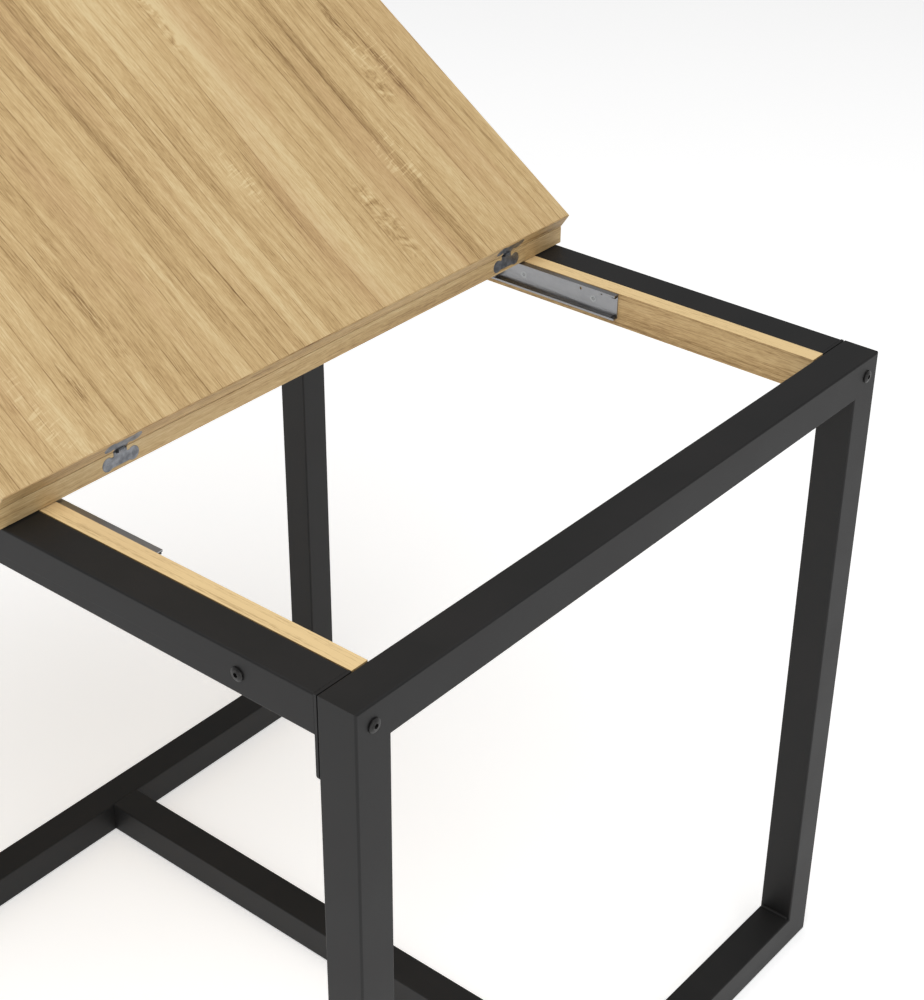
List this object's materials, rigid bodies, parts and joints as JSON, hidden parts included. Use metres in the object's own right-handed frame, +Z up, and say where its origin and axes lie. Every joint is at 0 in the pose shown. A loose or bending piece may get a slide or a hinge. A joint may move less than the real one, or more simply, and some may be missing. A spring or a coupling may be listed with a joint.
{
  "type": "slide-and-fold extending table",
  "caption": "Extending table: black square-tube frame with a sliding oak-effect top whose hinged upper leaf folds over to double the surface",
  "frame": {"origin": "on the floor, in the middle of the frame's footprint, under the floor stretcher", "axes": "+X along the table towards the near end where the leaf lands, +Y across to the right side, +Z up"},
  "size_m": [1.1603, 0.75, 1.2028],
  "materials": {
    "black_frame": "matte black powder coat, fine texture",
    "black_bolts": "black oxide, satin",
    "oak_laminate": "light oak-effect melamine on chipboard, matt with fine grain",
    "edge_band": "oak-effect edge band, matt",
    "runner_steel": "bright zinc plated, satin",
    "hinge_steel": "nickel plated, satin",
    "zinc": "zinc plated",
    "ball_steel": "polished",
    "cage_plastic": "moulded",
    "black_plastic": "moulded"
  },
  "bodies": {
    "frame": {"near_left_leg": "black_frame", "near_right_leg": "black_frame", "near_bottom_bar": "black_frame", "near_top_bar": "black_frame", "far_left_leg": "black_frame", "far_right_leg": "black_frame", "far_bottom_bar": "black_frame", "far_top_bar": "black_frame", "corner_welds": "black_frame", "floor_stretcher": "black_frame", "stretcher_end_plates": "black_frame", "stretcher_bolts": "black_bolts", "stretcher_nuts": "zinc", "rail_bolts": "black_bolts", "rail_nuts": "zinc", "plate_bolts": "black_bolts", "leg_rivet_nuts": "zinc", "apron_bolts": "black_bolts", "apron_insert_nuts": "zinc", "left_side_rail": "black_frame", "left_rail_end_plates": "black_frame", "left_apron": "oak_laminate", "left_runner_outer": "runner_steel", "right_side_rail": "black_frame", "right_rail_end_plates": "black_frame", "right_apron": "oak_laminate", "right_runner_outer": "runner_steel", "raceway_bumpers": "black_plastic", "outer_runner_screws": "zinc"},
    "top": {"lower_board": "oak_laminate", "lower_board_edge_bands": "edge_band", "left_batten": "oak_laminate", "right_batten": "oak_laminate", "batten_screws": "zinc", "left_runner_inner": "runner_steel", "right_runner_inner": "runner_steel", "inner_runner_screws": "zinc", "lower_hinge_screws": "zinc", "hinge_pins": "hinge_steel", "left_hinge_lower_plate": "hinge_steel", "right_hinge_lower_plate": "hinge_steel"},
    "leaf": {"leaf_board": "oak_laminate", "leaf_edge_bands": "edge_band", "upper_hinge_screws": "zinc", "left_hinge_upper_plate": "hinge_steel", "right_hinge_upper_plate": "hinge_steel"},
    "left_middle_member": {"left_runner_middle": "runner_steel"},
    "left_outer_cage": {"left_outer_ball_cage": "cage_plastic", "left_outer_balls": "ball_steel"},
    "left_inner_cage": {"left_inner_ball_cage": "cage_plastic", "left_inner_balls": "ball_steel"},
    "right_middle_member": {"right_runner_middle": "runner_steel"},
    "right_outer_cage": {"right_outer_ball_cage": "cage_plastic", "right_outer_balls": "ball_steel"},
    "right_inner_cage": {"right_inner_ball_cage": "cage_plastic", "right_inner_balls": "ball_steel"}
  },
  "joints": [
    {"name": "top_slide", "type": "slide", "parent": "frame", "child": "top", "axis": [1, 0, 0], "range_m": [0, 0.3875]},
    {"name": "leaf_flip", "type": "hinge", "parent": "top", "child": "leaf", "pos_m": [0.0004, 0, 0.75415], "axis": [0, 1, 0], "range_deg": [-34, 146]},
    {"name": "left_middle_member_slide", "type": "slide", "parent": "frame", "child": "left_middle_member", "axis": [1, 0, 0], "range_m": [0, 0.30226]},
    {"name": "left_outer_cage_slide", "type": "slide", "parent": "frame", "child": "left_outer_cage", "axis": [1, 0, 0], "range_m": [0, 0.15113]},
    {"name": "left_inner_cage_slide", "type": "slide", "parent": "frame", "child": "left_inner_cage", "axis": [1, 0, 0], "range_m": [0, 0.34488]},
    {"name": "right_middle_member_slide", "type": "slide", "parent": "frame", "child": "right_middle_member", "axis": [1, 0, 0], "range_m": [0, 0.30226]},
    {"name": "right_outer_cage_slide", "type": "slide", "parent": "frame", "child": "right_outer_cage", "axis": [1, 0, 0], "range_m": [0, 0.15113]},
    {"name": "right_inner_cage_slide", "type": "slide", "parent": "frame", "child": "right_inner_cage", "axis": [1, 0, 0], "range_m": [0, 0.34488]}
  ],
  "couplings": [
    {"joint": "left_middle_member_slide", "follows": "top_slide", "ratio": 0.78},
    {"joint": "left_outer_cage_slide", "follows": "top_slide", "ratio": 0.39},
    {"joint": "left_inner_cage_slide", "follows": "top_slide", "ratio": 0.89},
    {"joint": "right_middle_member_slide", "follows": "top_slide", "ratio": 0.78},
    {"joint": "right_outer_cage_slide", "follows": "top_slide", "ratio": 0.39},
    {"joint": "right_inner_cage_slide", "follows": "top_slide", "ratio": 0.89}
  ]
}
